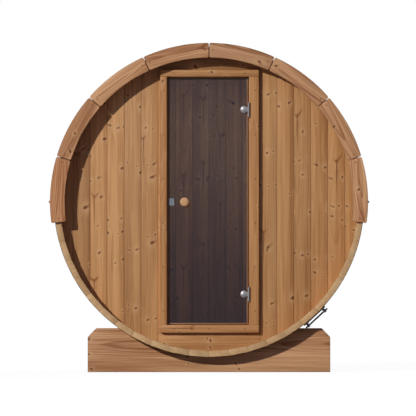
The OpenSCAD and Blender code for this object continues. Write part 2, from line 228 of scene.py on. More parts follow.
def forks(g, across, along, share, seed):
    """Pairs of branches that fork up and out of the pith, at most one to a length of board.

    Gives their stain, and the dark line of pith below each fork."""
    cell_l = 520 * MM
    row = g.div(along, cell_l)
    row_n = g.maths("FLOOR", row)
    side = g.maths("SIGN", across)
    chance = g.random(0.0, row_n, seed)
    form = g.random(side, row_n, seed + 3.0)
    there = g.maths("LESS_THAN", chance[0], share)
    z = g.sub(g.mul(g.sub(g.sub(row, row_n), 0.5), cell_l), g.fit(chance[1], 0.0, 0.3 * cell_l))
    x = g.maths("ABSOLUTE", across)
    width = g.fit(form[0], 5 * MM, 12 * MM)
    lift = g.mul(x, g.fit(form[1], 0.45, 1.3))
    bowed = g.mul(g.mul(x, x), 9.0)
    branch = g.bell(g.sub(z, g.add(lift, bowed)), width)
    length = g.fit(form[2], 12 * MM, 44 * MM)
    branch = g.mul(branch, g.ramp(g.div(x, length), 1.0, 0.45))
    sway = g.fit(g.noise(g.combine(0.0, 0.0, along), (1.0, 1.0, 9.0)), -5 * MM, 5 * MM)
    pith = g.bell(g.add(across, sway), 2.6 * MM)
    fade = g.mul(g.ramp(z, -0.5 * cell_l, -0.12 * cell_l), g.ramp(z, 30 * MM, 0.0))
    return g.mul(there, g.mul(branch, 0.85)), g.mul(there, g.mul(pith, fade))


def softwood_group():
    """Solid softwood: growth rings round the pith, streaks, fibres, and knots that the grain flows round.

    It reads each board's own place in its log: x across, y in from the face and z along the grain."""
    tree = bpy.data.node_groups.new("softwood", "ShaderNodeTree")
    for name in ("Pale", "Dark"):
        tree.interface.new_socket(name, in_out="INPUT", socket_type="NodeSocketColor")
    for name in ("Ring", "Lines", "Knots", "Figure"):
        tree.interface.new_socket(name, in_out="INPUT", socket_type="NodeSocketFloat")
    tree.interface.new_socket("Colour", in_out="OUTPUT", socket_type="NodeSocketColor")
    for name in ("Roughness", "Height"):
        tree.interface.new_socket(name, in_out="OUTPUT", socket_type="NodeSocketFloat")
    given = tree.nodes.new("NodeGroupInput").outputs
    result = tree.nodes.new("NodeGroupOutput").inputs
    g = Graph(tree)

    grain = g.attribute("grain", "Vector")
    tone = g.attribute("tone")
    board = g.random(g.mul(tone, 977.0), 3.0, 1.0)
    across, inward, along = g.split(grain)
    share = g.mul(given["Knots"], g.sub(1.0, g.attribute("endgrain")))
    large = knots(g, across, along, share, 1.0, (96 * MM, 380 * MM), (6.5, 14.0), 1.0)
    small = knots(g, across, along, g.mul(share, 0.8), 21.0, (48 * MM, 310 * MM), (4.0, 8.5), 0.9)
    core, stain, halo = [g.maths("MAXIMUM", large[i], small[i]) for i in range(3)]
    branches, pith = forks(g, across, along, g.mul(share, 0.6), 41.0)
    stain = g.maths("MAXIMUM", stain, branches)
    push = g.add(large[3], small[3])

    # The rings' centre wanders along the board, and the grain parts round the knots
    wander = g.fit(g.noise(grain, (3.0, 3.0, 1.1), 1.0), -16 * MM, 16 * MM)
    ripple = g.fit(g.noise(grain, (15.0, 15.0, 5.0), 2.0), -4 * MM, 4 * MM)
    parted = g.sub(across, g.mul(push, 0.8))
    bent = g.add(parted, g.add(wander, ripple))
    depth = g.add(inward, g.fit(g.noise(grain, (1.5, 1.5, 0.9), 1.0), -50 * MM, 50 * MM))
    flow = g.combine(bent, inward, along)
    radius = g.maths("SQRT", g.add(g.mul(bent, bent), g.mul(depth, depth)))
    ring = g.maths("FRACT", g.div(radius, given["Ring"]))
    late = g.mul(g.maths("POWER", ring, 2.6), g.ramp(ring, 1.0, 0.88))

    streak = g.ramp(g.noise(flow, (58.0, 58.0, 1.5), 3.0, 0.6), 0.34, 0.66)
    broad = g.ramp(g.noise(flow, (13.0, 13.0, 0.6), 2.0), 0.34, 0.66)
    fibre = g.noise(flow, (430.0, 430.0, 9.0), 2.0, 0.6)
    figure = g.mul(late, given["Lines"])
    for part, weight in ((streak, 0.30), (broad, 0.38), (fibre, 0.16)):
        figure = g.add(figure, g.mul(part, weight))
    figure = g.maths("MULTIPLY_ADD", g.sub(figure, 0.44), given["Figure"], 0.44, clamp=True)
    colour = g.mix(figure, given["Pale"], given["Dark"])

    # Boards differ in tone and in warmth, and some are darker along one edge
    shade = g.fit(tone, 0.79, 1.21)
    warm = g.fit(board[0], 0.95, 1.05)
    tint = g.combine(shade, g.mul(shade, g.maths("POWER", warm, 0.6)), g.mul(shade, warm))
    colour = g.mix(1.0, colour, tint, "MULTIPLY")
    heartside = g.mul(g.attribute("across"), g.maths("SIGN", g.sub(board[2], 0.5)))
    band = g.mul(g.ramp(g.add(heartside, g.fit(g.noise(grain, (2.0, 2.0, 1.3), 1.0), -0.4, 0.4)), 0.2, 0.8),
                 g.mul(g.ramp(board[1], 0.3, 0.8), given["Knots"]))
    colour = g.mix(g.maths("MULTIPLY", band, 0.8, clamp=True), colour,
                   g.mix(1.0, colour, (0.84, 0.78, 0.71, 1.0), "MULTIPLY"))

    colour = g.mix(pith, colour, (0.16, 0.052, 0.018, 1.0))
    rim = g.mul(halo, g.sub(1.0, g.maths("MAXIMUM", core, stain)))
    colour = g.mix(g.mul(rim, 0.45), colour, (0.74, 0.47, 0.23, 1.0))
    colour = g.mix(g.maths("MULTIPLY", stain, 0.95, clamp=True), colour, (0.21, 0.066, 0.018, 1.0))
    colour = g.mix(g.mul(core, 0.92), colour, (0.10, 0.020, 0.006, 1.0))

    g.feed(result["Colour"], colour)
    g.feed(result["Roughness"], g.fit(figure, 0.5, 0.68))
    height = g.add(g.mul(late, -0.4), g.mul(fibre, 0.5))
    g.feed(result["Height"], g.sub(height, g.add(g.mul(core, 0.4), g.mul(pith, 0.6))))
    return tree


def wood(name, pale, dark, ring=9.0, lines=0.5, share=0.4, figure=1.0, end_tint=(0.85, 0.83, 0.80),
         edge_shade=0.8):
    """A softwood material: the rings' spacing in millimetres and how strongly they show, the share of cells
    with a knot, the whole figure's strength, the end grain's tint and how dark the painted shade on rounded
    edges is."""
    made, g, shader = new_material(name)
    timber = g.node("ShaderNodeGroup", node_tree=SOFTWOOD)
    for socket, value in (("Pale", (*pale, 1.0)), ("Dark", (*dark, 1.0)), ("Ring", ring * MM),
                          ("Lines", lines), ("Knots", share), ("Figure", figure)):
        timber.inputs[socket].default_value = value
    colour = timber.outputs["Colour"]
    # Rounded edges are darkened: painted shade in the joints between boards and along their edges.
    painted_edge_shade = (edge_shade, edge_shade * 0.92, edge_shade * 0.85, 1.0)
    colour = g.mix(g.attribute("rounded"), colour, g.mix(1.0, colour, painted_edge_shade, "MULTIPLY"))
    colour = g.mix(g.attribute("endgrain"), colour, g.mix(1.0, colour, (*end_tint, 1.0), "MULTIPLY"))
    g.feed(shader.inputs["Base Color"], colour)
    g.feed(shader.inputs["Roughness"], timber.outputs["Roughness"])
    g.feed(shader.inputs["Normal"], g.bump(timber.outputs["Height"], 0.4, 0.5 * MM))
    shader.inputs["Specular IOR Level"].default_value = 0.3
    return made


# ---- Metal, glass and rubber ----

def metal(name, colour, roughness, metallic, shine=0.5, brush=(900.0, 900.0, 40.0), wear=0.12):
    """Brushed steel: fine lines in the roughness and the bump, and a slow change of tone."""
    made, g, shader = new_material(name)
    place = g.node("ShaderNodeTexCoord").outputs["Object"]
    lines = g.noise(place, brush, 3.0, 0.6)
    cloud = g.noise(place, (35.0, 35.0, 35.0), 3.0, 0.6)
    darker = tuple(channel * (1 - 2 * wear) for channel in colour)
    g.feed(shader.inputs["Base Color"], g.mix(cloud, (*colour, 1.0), (*darker, 1.0)))
    g.feed(shader.inputs["Roughness"], g.fit(lines, roughness - 0.08, roughness + 0.08))
    g.feed(shader.inputs["Normal"], g.bump(lines, 0.08, 0.2 * MM))
    shader.inputs["Metallic"].default_value = metallic
    shader.inputs["Specular IOR Level"].default_value = shine
    return made


def glass(name, colour, alpha, roughness, scales):
    """Tinted glass: part clear, with a faint uneven film that takes light and shadow."""
    made, g, shader = new_material(name)
    place = g.node("ShaderNodeTexCoord").outputs["Object"]
    film = g.noise(place, scales, 3.0)
    lighter = tuple(channel * 1.25 for channel in colour)
    g.feed(shader.inputs["Base Color"], g.mix(film, (*colour, 1.0), (*lighter, 1.0)))
    g.feed(shader.inputs["Roughness"], g.fit(film, roughness, roughness + 0.04))
    shader.inputs["Alpha"].default_value = alpha
    return made


def rubber(name, colour):
    made, g, shader = new_material(name)
    place = g.node("ShaderNodeTexCoord").outputs["Object"]
    grit = g.noise(place, (300.0, 300.0, 300.0), 3.0)
    lighter = tuple(channel * 1.3 for channel in colour)
    g.feed(shader.inputs["Base Color"], g.mix(grit, (*colour, 1.0), (*lighter, 1.0)))
    g.feed(shader.inputs["Roughness"], g.fit(grit, 0.4, 0.6))
    return made


SOFTWOOD = softwood_group()
WOODS = {
    "stave": wood("stave_wood", (0.63, 0.350, 0.157), (0.39, 0.190, 0.072), 8.0, 0.5, 0.45, 0.8,
                  (1.14, 1.36, 1.56), 0.9),
    "rear": wood("rear_wood", (0.64, 0.36, 0.16), (0.31, 0.135, 0.05), 12.0, 0.3, 1.15, 1.1,
                 edge_shade=0.55),
    "wall": wood("wall_wood", (0.615, 0.330, 0.136), (0.36, 0.163, 0.056), 12.0, 0.28, 0.85, 1.2,
                 edge_shade=0.66),
    "trim": wood("trim_wood", (0.70, 0.395, 0.200), (0.32, 0.128, 0.050), 7.5, 0.55, 0.3, 1.3,
                 (0.85, 0.83, 0.8), 0.72),
    "frame": wood("frame_wood", (0.63, 0.322, 0.130), (0.34, 0.145, 0.047), 8.0, 0.4, 0.35, 0.9),
    "floor": wood("floor_wood", (0.60, 0.36, 0.18), (0.38, 0.20, 0.085), 9.0, 0.5, 0.4, 0.9),
    "knob": wood("knob_wood", (0.70, 0.43, 0.22), (0.46, 0.24, 0.10), 6.0, 0.5, 0.0, 0.9,
                 (0.95, 0.95, 0.95), 0.9),
}
HOOP_STEEL = metal("hoop_steel", (0.040, 0.030, 0.034), 0.50, 0.2, shine=0.3)
LUG_STEEL = metal("lug_steel", (0.55, 0.55, 0.57), 0.38, 0.45)
ROD_STEEL = metal("rod_steel", (0.165, 0.100, 0.105), 0.65, 0.1, shine=0.2)
HINGE_STEEL = metal("hinge_steel", (0.42, 0.41, 0.42), 0.42, 0.5)
LATCH_STEEL = metal("latch_steel", (0.27, 0.31, 0.37), 0.45, 0.4)
SCREW_STEEL = metal("screw_steel", (0.13, 0.060, 0.035), 0.50, 0.2, shine=0.3)
GLASS = glass("tinted_glass", (0.012, 0.022, 0.036), 0.61, 0.03, (2.0, 2.0, 1.2))
GLASS_EDGE = glass("glass_edge", (0.30, 0.185, 0.11), 0.85, 0.25, (400.0, 400.0, 400.0))
DOOR_SEAL = rubber("door_seal", (0.27, 0.145, 0.075))
# Near black: painted shade in the V joints between the staves.
JOINT_SHADE = rubber("joint_painted_shade", (0.035, 0.022, 0.020))


# ---- Mesh helpers ----

def smooth_by_angle(mesh, angle=24.0):
    mesh.polygons.foreach_set("use_smooth", [True] * len(mesh.polygons))
    mesh.set_sharp_from_angle(angle=math.radians(angle))


def show(mesh, name, body, materials, nodes=()):
    """Makes a piece of a mesh, on its body, standing for its CAD nodes."""
    piece = bpy.data.objects.new(name, mesh)
    bpy.context.scene.collection.objects.link(piece)
    for material in materials:
        mesh.materials.append(material)
    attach(piece, body)
    if nodes:
        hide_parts(*nodes)
    return piece


def polar(r, angle):
    """A point round the barrel's axis, clockwise from the top, in X and Z."""
    return Vector((r * math.sin(angle), r * math.cos(angle)))


def round_barrel(angle):
    """A place round the barrel: x clockwise, y along the barrel and z out from the axis."""
    return Matrix.Translation((0, 0, AXIS_Z)) @ Matrix.Rotation(angle, 4, "Y")


def facing_front(x, y, z):
    """A place whose z looks out of the door, towards -Y, and whose y is up."""
    return Matrix.Translation((x, y, z)) @ Matrix.Rotation(QUARTER, 4, "X")


def facing_back(x, y, z):
    return Matrix.Translation((x, y, z)) @ Matrix.Rotation(-QUARTER, 4, "X")


def at(x, y, z):
    return Matrix.Translation((x, y, z))


ON_AXIS = round_barrel(0.0)
WORLD = Matrix.Identity(4)


def rectangle(low, high):
    return [(low[0], low[1]), (high[0], low[1]), (high[0], high[1]), (low[0], high[1])]


def prism(outline, low, high, plane="xz", bevel=2.0, segments=2):
    """A prism: its outline lies in plane, and it runs from low to high on the third axis.

    bevel rounds its sharp edges, in millimetres. Gives the mesh and its rounded faces."""
    third = ({"x", "y", "z"} - set(plane)).pop()
    mesh = bmesh.new()
    loops = []
    for level in (low, high):
        loop = []
        for point in outline:
            spot = [0.0, 0.0, 0.0]
            spot[AXES[plane[0]]], spot[AXES[plane[1]]], spot[AXES[third]] = point[0], point[1], level
            loop.append(mesh.verts.new(spot))
        loops.append(loop)
    mesh.faces.new(loops[0])
    mesh.faces.new(loops[1][::-1])
    for i in range(len(outline)):
        j = (i + 1) % len(outline)
        mesh.faces.new((loops[0][j], loops[0][i], loops[1][i], loops[1][j]))
    bmesh.ops.recalc_face_normals(mesh, faces=mesh.faces[:])
    rounded = []
    if bevel:
        sharp = [e for e in mesh.edges if e.calc_face_angle(0.0) > math.radians(25)]
        rounded = bmesh.ops.bevel(mesh, geom=sharp, offset=bevel * MM, segments=segments, profile=0.5,
                                  affect="EDGES", clamp_overlap=True)["faces"]
    return mesh, set(rounded)


def lathe(profile, steps=32):
    """A solid turned round z. The profile's (radius, height) points run from one end of z to the other."""
    mesh = bmesh.new()
    turn = 2 * math.pi / steps
    rows = []
    for r, h in profile:
        if r == 0:
            rows.append([mesh.verts.new((0, 0, h))])
        else:
            spots = [(r * math.cos(i * turn), r * math.sin(i * turn), h) for i in range(steps)]
            rows.append([mesh.verts.new(spot) for spot in spots])
    for lower, upper in zip(rows, rows[1:]):
        for i in range(steps):
            j = (i + 1) % steps
            corners = [lower[i % len(lower)], lower[j % len(lower)],
                       upper[j % len(upper)], upper[i % len(upper)]]
            mesh.faces.new(list(dict.fromkeys(corners)))
    for row, flip in ((rows[0], True), (rows[-1], False)):
        if len(row) > 1:
            mesh.faces.new(row[::-1] if flip else row)
    bmesh.ops.recalc_face_normals(mesh, faces=mesh.faces[:])
    return mesh, set()


class Solids:
    """Collects closed solids in one mesh."""

    def __init__(self):
        self.points, self.faces = [], []

    def add(self, made, place=WORLD):
        """Adds a solid at a place. Frees the solid's mesh."""
        mesh = made[0]
        mesh.verts.index_update()
        base = len(self.points)
        self.points.extend(place @ v.co for v in mesh.verts)
        self.faces.extend([base + v.index for v in f.verts] for f in mesh.faces)
        mesh.free()

    def mesh(self, name):
        mesh = bpy.data.meshes.new(name)
        mesh.from_pydata(self.points, [], self.faces)
        return mesh

    def piece(self, name, body, materials, slot=None, nodes=()):
        mesh = self.mesh(name)
        smooth_by_angle(mesh)
        return show(mesh, name, body, materials, nodes)


class Timber(Solids):
    """Collects boards. Each board has its own tone and its own place in its log."""

    def __init__(self, seed, tones=(0.0, 1.0)):
        super().__init__()
        self.dice = random.Random(seed)
        self.tones = tones
        self.grain, self.across, self.tone, self.end, self.rounded = [], [], [], [], []

    def board(self, made, place=ON_AXIS, along="z", tone=None, thin="y"):
        """Adds a solid whose grain runs along one of its own axes, and whose thickness is along another."""
        mesh, rounded = made
        wide = ({"x", "y", "z"} - {along, thin}).pop()
        along, thin, wide = AXES[along], AXES[thin], AXES[wide]
        lows = [min(v.co[i] for v in mesh.verts) for i in range(3)]
        highs = [max(v.co[i] for v in mesh.verts) for i in range(3)]
        pith_x, pith_y = self.dice.uniform(-50, 50) * MM, self.dice.uniform(25, 95) * MM
        start = self.dice.uniform(0, 60)
        drawn = self.dice.uniform(*self.tones)
        centre, half = (lows[wide] + highs[wide]) / 2, (highs[wide] - lows[wide]) / 2
        for v in mesh.verts:
            self.grain.append((v.co[wide] - centre + pith_x,
                               v.co[thin] - lows[thin] + pith_y,
                               v.co[along] + start))
            self.across.append((v.co[wide] - centre) / half)
            self.tone.append(drawn if tone is None else tone)
        for f in mesh.faces:
            self.end.append(1.0 if abs(f.normal[along]) > 0.75 else 0.0)
            self.rounded.append(1.0 if f in rounded else 0.0)
        self.add(made, place)

    def mesh(self, name):
        mesh = super().mesh(name)
        flat = [number for point in self.grain for number in point]
        mesh.attributes.new("grain", "FLOAT_VECTOR", "POINT").data.foreach_set("vector", flat)
        mesh.attributes.new("across", "FLOAT", "POINT").data.foreach_set("value", self.across)
        mesh.attributes.new("tone", "FLOAT", "POINT").data.foreach_set("value", self.tone)
        mesh.attributes.new("endgrain", "FLOAT", "FACE").data.foreach_set("value", self.end)
        mesh.attributes.new("rounded", "FLOAT", "FACE").data.foreach_set("value", self.rounded)
        return mesh


SCREW_LIP = 0.4 * MM


def screw(r=4.5 * MM):
    """A countersunk screw, its head's face at z = 0 and its point below, with a round driver socket."""
    socket, deep, lip, long = 0.45 * r, 1.6 * MM, SCREW_LIP, 22 * MM
    shank = 0.45 * r
    return lathe([(0, lip - deep), (socket, lip - deep), (socket, lip), (0.9 * r, lip), (r, 0),
                  (shank, -0.6 * r), (shank, -long), (0, -long - shank)], 14)


def screws(name, body, places):
    made = Solids()
    for place in places:
        made.add(screw(), place)
    made.piece(name, body, [SCREW_STEEL], "hinge_steel")


# ---- Barrel shell ----

EIGHTHS = ("top_right", "upper_right", "lower_right", "bottom_right",
           "bottom_left", "lower_left", "upper_left", "top_left")


def stave_outline():
    """A stave's section at the top of the barrel: a V along the outer joints, a small bead inside."""
    def half(r):
        return r * math.tan(STAVE_ANGLE / 2) - STAVE_GAP / 2
    bead = 1 * MM
    right = [
        (half(BARREL_R) - 2 * STAVE_V, BARREL_R),
        (half(BARREL_R - STAVE_V), BARREL_R - STAVE_V),
        (half(INNER_R + bead), INNER_R + bead),
        (half(INNER_R) - bead, INNER_R),
    ]
    return right + [(-x, r) for x, r in reversed(right)]


def build_shell():
    outline = stave_outline()
    each = STAVE_N // len(EIGHTHS)
    for number, name in enumerate(EIGHTHS):
        staves = Timber(100 + number, (0.3, 0.7))
        for i in range(each):
            angle = (number * each + i + 0.5) * STAVE_ANGLE
            staves.board(prism(outline, -END_Y, END_Y, "xz", 0.8), round_barrel(angle), "y", thin="z")
        staves.piece("shell_" + name, "cabin", [WOODS["stave"]], "stave_wood", ["staves_" + name])


def build_joint_beads():
    """A near-black bead low in the V between each two staves: it fills the foot of the groove, and its
    colour is painted shade in the joint.
    """
    def side(r):
        return (r - BARREL_R + STAVE_V) * 2
    foot, top = BARREL_R - 2.8 * MM, BARREL_R - 1.2 * MM
    outline = [(-side(foot), foot), (side(foot), foot), (side(top), top), (-side(top), top)]
    beads = Solids()
    inset = 1 * MM
    for i in range(STAVE_N):
        beads.add(prism(outline, -END_Y + inset, END_Y - inset, "xz", 0), round_barrel(i * STAVE_ANGLE))
    beads.piece("joint_beads", "cabin", [JOINT_SHADE])


# ---- Arch trim ----

def arc(centre, r, start, end, steps):
    return [centre + polar(r, start + (end - start) * i / steps) for i in range(steps + 1)]


def arch_outline(half, r0, r1, rc):
    """One arch piece, centred on the top, with rounded corners."""
    out, inn = math.asin(rc / (r1 - rc)), math.asin(rc / (r0 + rc))
    origin = Vector((0, 0))
    return (
        arc(origin, r1, out - half, half - out, 14)
        + arc(polar(r1 - rc, half - out), rc, half - out, half + QUARTER, 6)[1:]
        + arc(polar(r0 + rc, half - inn), rc, half + QUARTER, half - inn + 2 * QUARTER, 6)[1:]
        + arc(origin, r0, half - inn, inn - half, 14)[1:]
        + arc(polar(r0 + rc, inn - half), rc, inn - half + 2 * QUARTER, 3 * QUARTER - half, 6)[1:]
        + arc(polar(r1 - rc, out - half), rc, 3 * QUARTER - half, out - half + 4 * QUARTER, 6)[1:-1]
    )


# The front trim's tones, from the top down each side
ARCH_TONES = {"left": (0.55, 0.60, 0.55, 0.95), "right": (0.25, 0.42, 0.50, 0.70)}


def build_arches():
    """Curved boards round the top of each end, with a screw near both ends of each."""
    inner = ARCH_OUT - ARCH_W
    half = (ARCH_ANGLE - ARCH_GAP / ARCH_OUT) / 2
    outline = arch_outline(half, inner, ARCH_OUT, ARCH_CORNER)
    screw_inset = 26 * MM
    screw_angle = half - screw_inset / ARCH_OUT
    face_y = END_Y + ARCH_T - SCREW_LIP
    for end, face, back in (("front", -face_y, -END_Y), ("rear", face_y, END_Y)):
        turn = QUARTER if end == "front" else -QUARTER
        heads = []
        for side, sign in (("left", -1), ("right", 1)):
            arches = Timber(200 + len(end) + sign, (0.25, 0.75))
            for i in range(ARCH_N):
                place = round_barrel(sign * (i + 0.5) * ARCH_ANGLE)
                arches.board(prism(outline, face, back, "xz", 3.0), place, "x", ARCH_TONES[side][i])
                for angle in (-screw_angle, screw_angle):
                    x, z = polar(INNER_R + STAVE_T / 2, angle)
                    heads.append(place @ at(x, face, z) @ Matrix.Rotation(turn, 4, "X"))
            node = f"{end}_arch_{side}"
            arches.piece(node + "_trim", "cabin", [WOODS["trim"]], "trim_wood", [node])
        screws(end + "_arch_screws", "cabin", heads)


# ---- Cradles and side battens ----

def build_cradles():
    """A wide board under each end, with chamfered corners and a round seat."""
    chamfer = 42 * MM
    for seed, end in ((303, "front"), (302, "rear")):
        node = end + "_cradle"
        low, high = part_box(node)
        reach = math.acos((AXIS_Z - high.z) / SEAT_R)
        seat = arc(Vector((0, AXIS_Z)), SEAT_R, math.pi - reach, math.pi + reach, 40)
        outline = [
            (low.x, low.z), (high.x, low.z), (high.x, high.z - chamfer), (high.x - chamfer, high.z),
            *seat, (low.x + chamfer, high.z), (low.x, high.z - chamfer),
        ]
        cradle = Timber(seed)
        cradle.board(prism(outline, low.y, high.y, "xz", 2.5), WORLD, "x", 0.5)
        cradle.piece(end + "_cradle_board", "cabin", [WOODS["trim"]], "trim_wood", [node])


def build_battens():
    """Three-cornered strips along both sides, under the arches' feet."""
    for seed, side, sign in ((311, "left", -1), (312, "right", 1)):
        node = "side_batten_" + side
        low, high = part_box(node)
        foot, tip = sorted((abs(low.x), abs(high.x)))
        hoops = [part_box(f"{end}_hoop") for end in ("front", "rear")]
        clear = 0.5 * MM
        cuts = [low.y, hoops[0][0].y - clear, hoops[0][1].y + clear,
                hoops[1][0].y - clear, hoops[1][1].y + clear, high.y]
        outline = [(sign * foot, low.z), (sign * tip, AXIS_Z), (sign * foot, high.z)]
        step = foot + 4 * MM
        slope = (high.z - AXIS_Z) * (tip - step) / (tip - foot)
        bridge = [(sign * step, AXIS_Z - slope), (sign * tip, AXIS_Z), (sign * step, AXIS_Z + slope)]
        batten = Timber(seed)
        for k, (y0, y1) in enumerate(zip(cuts, cuts[1:])):
            batten.board(prism(bridge if k % 2 else outline, y0, y1, "xz", 0), WORLD, "y", 0.5, "x")
        batten.piece(node + "_strip", "cabin", [WOODS["trim"]], "trim_wood", [node])


# ---- End walls ----

# The boards' tones from left to right, by their place on the board grid: 0 is dark and 1 is pale
FRONT_TONES = {-9: 0.30, -8: 0.15, -7: 0.74, -6: 0.86, -5: 0.34, -4: 0.36,
               3: 0.46, 4: 0.54, 5: 0.42, 6: 0.62, 7: 0.84, 8: 0.50}
REAR_TONES = {-3: 0.5, -2: 0.95, -1: 0.35, 0: 0.3, 1: 0.62, 2: 0.7}


def circle_height(x):
    return math.sqrt(max(WALL_R ** 2 - x ** 2, 0.0))


def upright_board(x0, x1, bottom=None, top=None, steps=8):
    """A vertical board's outline, cut to the wall's circle or to a level edge."""
    xs = [x0 + (x1 - x0) * i / steps for i in range(steps + 1)]
    lower = [(x, -circle_height(x) if bottom is None else bottom) for x in xs]
    upper = [(x, circle_height(x) if top is None else top) for x in reversed(xs)]
    return (lower if bottom is None else [lower[0], lower[-1]]) + \
           (upper if top is None else [upper[0], upper[-1]])


def wall_boards(timber, x0, x1, y0, y1, tones):
    """Vertical boards between x0 and x1, with their joints on the board grid."""
    edge, narrowest = 12 * MM, 8 * MM
    reach = WALL_R - edge
    for k in range(math.floor(x0 / BOARD_W + 0.01), math.ceil(x1 / BOARD_W - 0.01)):
        left = max(k * BOARD_W, x0, -reach)
        right = min((k + 1) * BOARD_W, x1, reach)
        if right - left > narrowest:
            timber.board(prism(upright_board(left, right), y0, y1, "xz", 2.2), tone=tones.get(k))


def build_walls():
    """The front wall round the door, with a level board above it whose dark tone is painted shade, and the
    whole rear wall.
    """
    for seed, side, x0, x1 in ((401, "left", -WALL_R, -BAY), (402, "right", BAY, WALL_R)):
        front = Timber(seed)
        wall_boards(front, x0, x1, WALL_FRONT, WALL_BACK, FRONT_TONES)
        front.piece("front_boards_" + side, "cabin", [WOODS["wall"]], "wall_wood", ["front_wall_" + side])
    # The board above the door gets tone -0.25, below the scale's dark end: painted shade for the deep shade
    # under the arch.
    for seed, place, tone, cut in ((403, "above", -0.25, {"bottom": FRAME_TOP}),
                                   (404, "below", 0.45, {"top": FRAME_BOTTOM})):
        level = Timber(seed)
        outline = upright_board(-BAY, BAY, steps=24, **cut)
        level.board(prism(outline, WALL_FRONT, WALL_BACK, "xz", 2.0), along="x", tone=tone)
        level.piece(f"board_{place}_door", "cabin", [WOODS["wall"]], "wall_wood",
                    [f"front_wall_{place}_door"])
    for seed, side, x0, x1 in ((411, "left", -WALL_R, 0), (412, "right", 0, WALL_R)):
        rear = Timber(seed)
        wall_boards(rear, x0, x1, -WALL_BACK, -WALL_FRONT, REAR_TONES)
        rear.piece("rear_boards_" + side, "cabin", [WOODS["rear"]], "wall_wood", ["rear_wall_" + side])


# ---- Door frame ----

GLASS_LOW, GLASS_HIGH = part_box("door_glass")
SILL_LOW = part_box("door_sill")[0]
HEAD_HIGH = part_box("door_head")[1]
FRAME_FRONT = SILL_LOW.y
GLASS_GAP = 13 * MM
SILL_H, HEAD_H = 50 * MM, 44 * MM
LEFT_JAMB_W, RIGHT_JAMB_W = 42 * MM, 64 * MM
OPEN_LEFT, OPEN_RIGHT = GLASS_LOW.x - GLASS_GAP, GLASS_HIGH.x + GLASS_GAP
OPEN_BOTTOM, OPEN_TOP = SILL_LOW.z + SILL_H, HEAD_HIGH.z - HEAD_H
OUTER_LEFT, OUTER_RIGHT = OPEN_LEFT - LEFT_JAMB_W, OPEN_RIGHT + RIGHT_JAMB_W
STOP_W = 19 * MM
STOP_FRONT = GLASS_HIGH.y + 5 * MM
HINGE_ZS = [middle(which + "_hinge_clamp").z for which in ("lower", "upper")]


def build_jamb(seed, side, outer, inner, sign):
    """An upright of the door frame, with a stop behind the glass."""
    jamb = Timber(seed, (0.35, 0.65))
    plan = [(outer, FRAME_FRONT), (inner, FRAME_FRONT), (inner, WALL_BACK), (sign * BAY, WALL_BACK),
            (sign * BAY, WALL_FRONT), (outer, WALL_FRONT)]
    jamb.board(prism(plan, OPEN_BOTTOM, OPEN_TOP, "xy", 1.5), WORLD, "z")
    x0, x1 = sorted((inner, inner - sign * STOP_W))
    notch_h, notch_in = 28 * MM, 7 * MM
    cuts = [OPEN_BOTTOM, OPEN_TOP]
    if side == "right":
        notches = [(z - notch_h, z + notch_h) for z in HINGE_ZS]
        cuts[1:1] = [z for notch in notches for z in notch]
        for z0, z1 in notches:
            thin = prism(rectangle((x0, STOP_FRONT + notch_in), (x1, WALL_BACK)), z0, z1, "xy", 1.0)
            jamb.board(thin, WORLD, "z", 0.45)
    for z0, z1 in zip(cuts[::2], cuts[1::2]):
        stop = prism(rectangle((x0, STOP_FRONT), (x1, WALL_BACK)), z0, z1, "xy", 1.0)
        jamb.board(stop, WORLD, "z", 0.45)
    jamb.piece("jamb_" + side, "cabin", [WOODS["frame"]], "frame_wood", ["door_jamb_" + side])


def build_rail(seed, name, z0, z1, stop_z0, stop_z1):
    """The frame's head or sill, right across, with its stop."""
    rail = Timber(seed, (0.35, 0.65))
    plan = [(OUTER_LEFT, FRAME_FRONT), (OUTER_RIGHT, FRAME_FRONT), (OUTER_RIGHT, WALL_FRONT),
            (BAY, WALL_FRONT), (BAY, WALL_BACK), (-BAY, WALL_BACK), (-BAY, WALL_FRONT),
            (OUTER_LEFT, WALL_FRONT)]
    rail.board(prism(plan, z0, z1, "xy", 1.5), WORLD, "x")
    across = rectangle((OPEN_LEFT + STOP_W, STOP_FRONT), (OPEN_RIGHT - STOP_W, WALL_BACK))
    rail.board(prism(across, stop_z0, stop_z1, "xy", 1.0), WORLD, "x", 0.45)
    rail.piece("frame_" + name, "cabin", [WOODS["frame"]], "frame_wood", ["door_" + name])


def build_frame():
    """Both jambs, the head and the sill, with screws along them."""
    build_jamb(501, "left", OUTER_LEFT, OPEN_LEFT, -1)
    build_jamb(502, "right", OUTER_RIGHT, OPEN_RIGHT, 1)
    build_rail(503, "head", OPEN_TOP, HEAD_HIGH.z, OPEN_TOP - STOP_W, OPEN_TOP)
    build_rail(504, "sill", SILL_LOW.z, OPEN_BOTTOM, OPEN_BOTTOM, OPEN_BOTTOM + STOP_W)
    heads = []
    count, inset = 6, 90 * MM
    right_line = OPEN_RIGHT + 40 * MM
    for x in (OPEN_LEFT - LEFT_JAMB_W / 2, right_line):
        for i in range(count):
            z = OPEN_BOTTOM + inset + (OPEN_TOP - OPEN_BOTTOM - 2 * inset) * i / (count - 1)
            heads.append(facing_front(x, FRAME_FRONT, z))
    for z in (SILL_LOW.z + SILL_H / 2, HEAD_HIGH.z - HEAD_H / 2):
        heads += [facing_front(x, FRAME_FRONT, z) for x in (OUTER_LEFT + inset, 0, OUTER_RIGHT - inset)]
    screws("frame_screws", "cabin", heads)


# ---- Door ----

def build_glass():
    """The pane, with ground edges and rounded corners."""
    corner = 4 * MM
    outline = rounded_rectangle(GLASS_LOW, GLASS_HIGH, corner)
    pane = Solids()
    pane.add(prism(outline, GLASS_LOW.y, GLASS_HIGH.y, "xz", 0.8, 1))
    mesh = pane.mesh("glass_pane")
    for polygon in mesh.polygons:
        polygon.material_index = 0 if abs(polygon.normal.y) > 0.99 else 1
    show(mesh, "glass_pane", "door", [GLASS, GLASS_EDGE], ["door_glass"])


